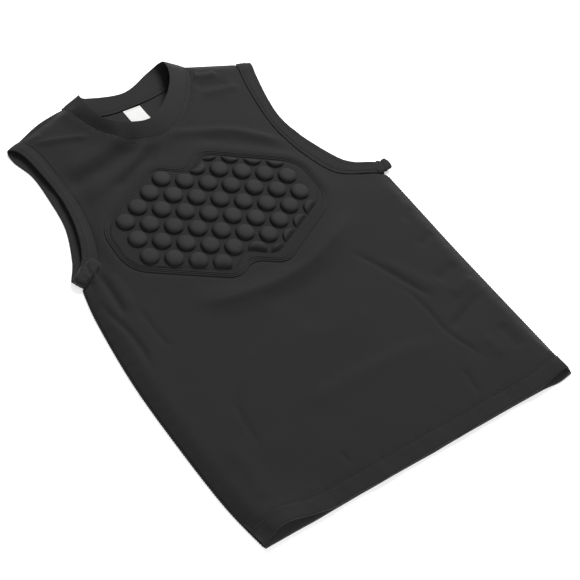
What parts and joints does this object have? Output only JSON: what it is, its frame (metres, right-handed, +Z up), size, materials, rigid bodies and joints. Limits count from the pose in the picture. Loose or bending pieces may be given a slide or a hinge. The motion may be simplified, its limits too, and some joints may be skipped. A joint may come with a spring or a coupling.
{
  "type": "padded compression shirt chest protector",
  "caption": "Sleeveless stretch-knit shirt lying flat, with a low neckband, bound armholes and a stitched-in chest pad of foam domes in two six-sided lobes.",
  "frame": {"origin": "on the table under the middle of the garment as it lies on its back", "axes": "+Y from the hem to the neck, +X across the chest to the wearer's left, +Z up off the chest"},
  "size_m": [0.3682, 0.4912, 0.0189],
  "materials": {
    "body_knit": "matte fine stretch knit, charcoal black",
    "rib_knit": "matte fine rib knit, charcoal black",
    "binding": "matte folded knit binding, charcoal black",
    "thread": "matte black sewing thread and rolled seams",
    "pad_knit": "smooth knit moulded over foam, charcoal black",
    "pad_lining": "thin lining cloth, black",
    "foam": "closed-cell foam, dark grey",
    "label": "white woven label, blank"
  },
  "bodies": {
    "shirt": {"back_panel": "body_knit", "front_panel": "body_knit", "neckband": "rib_knit", "left_armhole_band": "binding", "right_armhole_band": "binding", "left_underarm_join": "binding", "right_underarm_join": "binding", "left_side_seam": "thread", "right_side_seam": "thread", "left_shoulder_seam": "thread", "right_shoulder_seam": "thread", "neck_topstitch": "thread", "neckband_stitch": "thread", "left_armhole_stitch": "thread", "right_armhole_stitch": "thread", "front_hem_stitch": "thread", "back_hem_stitch": "thread", "pad_backing": "pad_lining", "pad_foam_base": "foam", "pad_foam_domes": "foam", "pad_cover": "pad_knit", "pad_outer_cord": "thread", "pad_middle_cord": "thread", "pad_inner_cord": "thread"},
    "label": {"neck_label": "label", "label_stitch": "thread"}
  },
  "joints": [
    {"name": "label_flip", "type": "hinge", "parent": "shirt", "child": "label", "pos_m": [-0.0044, 0.2096, 0.0014], "axis": [-1, 0, 0], "range_deg": [0, 110]}
  ]
}
